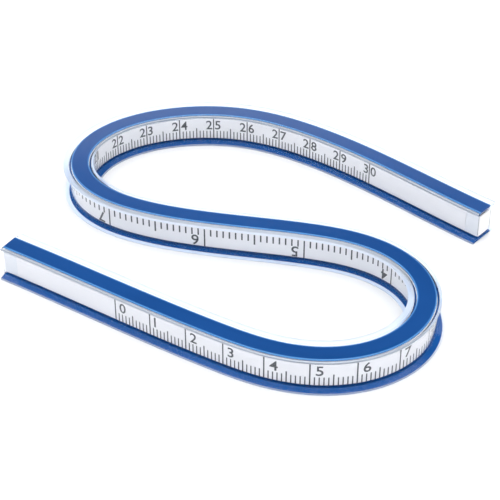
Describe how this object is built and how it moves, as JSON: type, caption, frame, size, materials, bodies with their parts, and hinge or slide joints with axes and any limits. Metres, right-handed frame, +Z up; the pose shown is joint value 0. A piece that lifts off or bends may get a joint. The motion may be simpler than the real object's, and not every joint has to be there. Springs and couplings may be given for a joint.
{
  "type": "flexible curve ruler",
  "caption": "Bendable drawing curve: a clear sleeve with blue top and bottom strips over a lead core, printed with centimetre and inch scales, lying in an S.",
  "frame": {"origin": "middle of the S's bounding box, on the plane it lies on", "axes": "+Z up out of the table, +X along the S's longest extent, towards the bend by the 7 cm mark; +Y towards the limb that ends at 30 cm"},
  "size_m": [0.1238, 0.1116, 0.0088],
  "materials": {
    "clear_plastic": "clear flexible vinyl, glossy",
    "blue_plastic": "mid blue flexible vinyl, satin gloss",
    "white_plastic": "cool white vinyl with grey printed scales",
    "plug_plastic": "plain white",
    "spring_steel": "bright cold-rolled strip",
    "lead": "dull grey lead"
  },
  "bodies": {
    "stretch_1": {"lead_core_1": "lead", "inch_side_spring_1": "spring_steel", "metric_side_spring_1": "spring_steel", "white_tube_1": "white_plastic", "clear_sleeve_1": "clear_plastic", "blue_top_strip_1": "blue_plastic", "blue_bottom_strip_1": "blue_plastic", "end_plug_zero": "plug_plastic"},
    "stretch_2": {"lead_core_2": "lead", "inch_side_spring_2": "spring_steel", "metric_side_spring_2": "spring_steel", "white_tube_2": "white_plastic", "clear_sleeve_2": "clear_plastic", "blue_top_strip_2": "blue_plastic", "blue_bottom_strip_2": "blue_plastic"},
    "stretch_3": {"lead_core_3": "lead", "inch_side_spring_3": "spring_steel", "metric_side_spring_3": "spring_steel", "white_tube_3": "white_plastic", "clear_sleeve_3": "clear_plastic", "blue_top_strip_3": "blue_plastic", "blue_bottom_strip_3": "blue_plastic"},
    "stretch_4": {"lead_core_4": "lead", "inch_side_spring_4": "spring_steel", "metric_side_spring_4": "spring_steel", "white_tube_4": "white_plastic", "clear_sleeve_4": "clear_plastic", "blue_top_strip_4": "blue_plastic", "blue_bottom_strip_4": "blue_plastic"},
    "stretch_5": {"lead_core_5": "lead", "inch_side_spring_5": "spring_steel", "metric_side_spring_5": "spring_steel", "white_tube_5": "white_plastic", "clear_sleeve_5": "clear_plastic", "blue_top_strip_5": "blue_plastic", "blue_bottom_strip_5": "blue_plastic"},
    "stretch_6": {"lead_core_6": "lead", "inch_side_spring_6": "spring_steel", "metric_side_spring_6": "spring_steel", "white_tube_6": "white_plastic", "clear_sleeve_6": "clear_plastic", "blue_top_strip_6": "blue_plastic", "blue_bottom_strip_6": "blue_plastic"},
    "stretch_7": {"lead_core_7": "lead", "inch_side_spring_7": "spring_steel", "metric_side_spring_7": "spring_steel", "white_tube_7": "white_plastic", "clear_sleeve_7": "clear_plastic", "blue_top_strip_7": "blue_plastic", "blue_bottom_strip_7": "blue_plastic"},
    "stretch_8": {"lead_core_8": "lead", "inch_side_spring_8": "spring_steel", "metric_side_spring_8": "spring_steel", "white_tube_8": "white_plastic", "clear_sleeve_8": "clear_plastic", "blue_top_strip_8": "blue_plastic", "blue_bottom_strip_8": "blue_plastic", "end_plug_thirty": "plug_plastic"}
  },
  "joints": [
    {"name": "bend_1", "type": "hinge", "parent": "stretch_2", "child": "stretch_1", "pos_m": [-0.00744, -0.04329, 0.0044], "axis": [0, 0, 1], "range_deg": [-6, 45]},
    {"name": "bend_2", "type": "hinge", "parent": "stretch_3", "child": "stretch_2", "pos_m": [0.03021, -0.04788, 0.0044], "axis": [0, 0, 1], "range_deg": [-3, 45]},
    {"name": "bend_3", "type": "hinge", "parent": "stretch_4", "child": "stretch_3", "pos_m": [0.03784, -0.01841, 0.0044], "axis": [0, 0, 1], "range_deg": [-3, 45]},
    {"name": "bend_4", "type": "hinge", "parent": "stretch_4", "child": "stretch_5", "pos_m": [-0.00707, -0.00005, 0.0044], "axis": [0, 0, 1], "range_deg": [-5, 30]},
    {"name": "bend_5", "type": "hinge", "parent": "stretch_5", "child": "stretch_6", "pos_m": [-0.04109, 0.01514, 0.0044], "axis": [0, 0, 1], "range_deg": [-3, 45]},
    {"name": "bend_6", "type": "hinge", "parent": "stretch_6", "child": "stretch_7", "pos_m": [-0.03845, 0.0422, 0.0044], "axis": [0, 0, 1], "range_deg": [-3, 45]},
    {"name": "bend_7", "type": "hinge", "parent": "stretch_7", "child": "stretch_8", "pos_m": [0.00476, 0.04797, 0.0044], "axis": [0, 0, 1], "range_deg": [-6, 45]}
  ]
}
